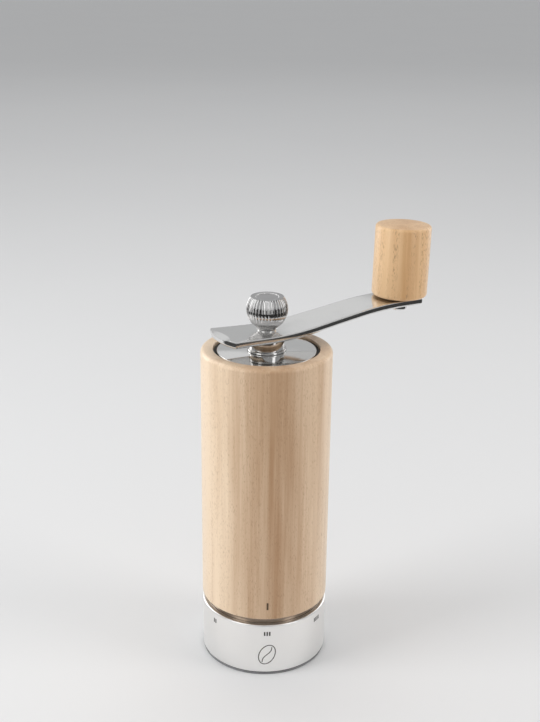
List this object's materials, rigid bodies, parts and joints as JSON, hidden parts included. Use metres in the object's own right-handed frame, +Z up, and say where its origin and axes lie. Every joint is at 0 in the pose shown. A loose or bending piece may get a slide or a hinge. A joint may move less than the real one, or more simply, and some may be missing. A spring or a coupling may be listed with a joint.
{
  "type": "hand-crank burr coffee grinder",
  "caption": "Slim hand-cranked conical burr coffee grinder: round beech body, steel base ring that sets the grind, lift-off cover with offset crank, fluted ball knob and round wooden grip.",
  "frame": {"origin": "centre of the round foot's underside, on the table", "axes": "+Z up along the mill's axis, -Y towards the front with the index mark, +X to the right"},
  "size_m": [0.1016, 0.0722, 0.1893],
  "materials": {
    "beech": "light beech, clear satin lacquer",
    "beech_grip": "light beech, clear satin lacquer",
    "satin_steel": "softly brushed stainless steel with etched marks",
    "polished_steel": "mirror polished stainless steel",
    "arm_steel": "polished stainless steel",
    "turned_steel": "turned steel",
    "burr_steel": "hardened ground steel",
    "screw_steel": "plain steel",
    "magnet": "nickel plated magnet",
    "bronze": "sintered bronze",
    "foot_rubber": "matt grey rubber",
    "seal_rubber": "black rubber"
  },
  "bodies": {
    "base_cup": {"foot_pad": "foot_rubber", "ground_cup": "turned_steel", "cup_magnets": "magnet"},
    "mill": {"wood_body": "beech", "neck_ring": "polished_steel", "chassis_tube": "turned_steel", "bean_funnel": "turned_steel", "lower_spider": "turned_steel", "upper_spider": "turned_steel", "lower_bearing": "screw_steel", "upper_bearing": "screw_steel", "spider_screws": "screw_steel", "detent_plungers": "screw_steel"},
    "selector": {"base_ring": "satin_steel", "adjusting_sleeve": "turned_steel", "selector_screws": "screw_steel", "retaining_ring": "screw_steel"},
    "burr_carrier": {"burr_holder": "turned_steel", "ring_burr": "burr_steel", "burr_screws": "screw_steel"},
    "shaft": {"drive_shaft": "turned_steel", "cone_burr": "burr_steel", "cone_washer": "screw_steel", "cone_nut": "screw_steel", "shaft_spacer": "turned_steel", "shaft_collar": "turned_steel", "collar_screw": "screw_steel"},
    "head": {"cover_plate": "polished_steel", "cover_bush": "bronze", "cover_seal": "seal_rubber"},
    "crank": {"crank_spindle": "turned_steel", "hub_collar": "polished_steel", "spindle_clip": "screw_steel", "crank_arm": "arm_steel", "grip_bolt": "screw_steel", "grip_nut": "polished_steel", "grip_washer": "screw_steel"},
    "clamp_washer": {"knob_washer": "polished_steel"},
    "knob": {"ball_knob": "polished_steel", "knob_stud": "screw_steel"},
    "grip": {"grip_handle": "beech_grip", "grip_sleeve": "bronze"}
  },
  "joints": [
    {"name": "mill_lift", "type": "slide", "parent": "base_cup", "child": "mill", "axis": [0, 0, 1], "range_m": [0, 0.07]},
    {"name": "selector_turn", "type": "hinge", "parent": "mill", "child": "selector", "pos_m": [0, 0, 0.0133], "axis": [0, 0, 1], "range_deg": [-162, 108]},
    {"name": "burr_lift", "type": "slide", "parent": "mill", "child": "burr_carrier", "axis": [0, 0, 1], "range_m": [-0.0006, 0.0009]},
    {"name": "cover_lift", "type": "slide", "parent": "mill", "child": "head", "axis": [0, 0, 1], "range_m": [0, 0.04]},
    {"name": "crank_turn", "type": "hinge", "parent": "head", "child": "crank", "pos_m": [0, 0, 0.1427], "axis": [0, 0, 1], "continuous": true},
    {"name": "shaft_turn", "type": "hinge", "parent": "mill", "child": "shaft", "pos_m": [0, 0, 0.11], "axis": [0, 0, 1], "continuous": true},
    {"name": "knob_rise", "type": "slide", "parent": "crank", "child": "clamp_washer", "axis": [0, 0, 1], "range_m": [0, 0.0022]},
    {"name": "knob_unscrew", "type": "hinge", "parent": "clamp_washer", "child": "knob", "pos_m": [0, 0, 0.152], "axis": [0, 0, 1], "range_deg": [0, 1080]},
    {"name": "grip_spin", "type": "hinge", "parent": "crank", "child": "grip", "pos_m": [0.06067, 0.03158, 0.15679], "axis": [0.0209, 0.0109, 0.9997], "continuous": true}
  ],
  "couplings": [
    {"joint": "burr_lift", "follows": "selector_turn", "m_per_rad": -0.00025465},
    {"joint": "shaft_turn", "follows": "crank_turn", "ratio": 1},
    {"joint": "knob_rise", "follows": "knob_unscrew", "m_per_rad": 0.00011141}
  ]
}
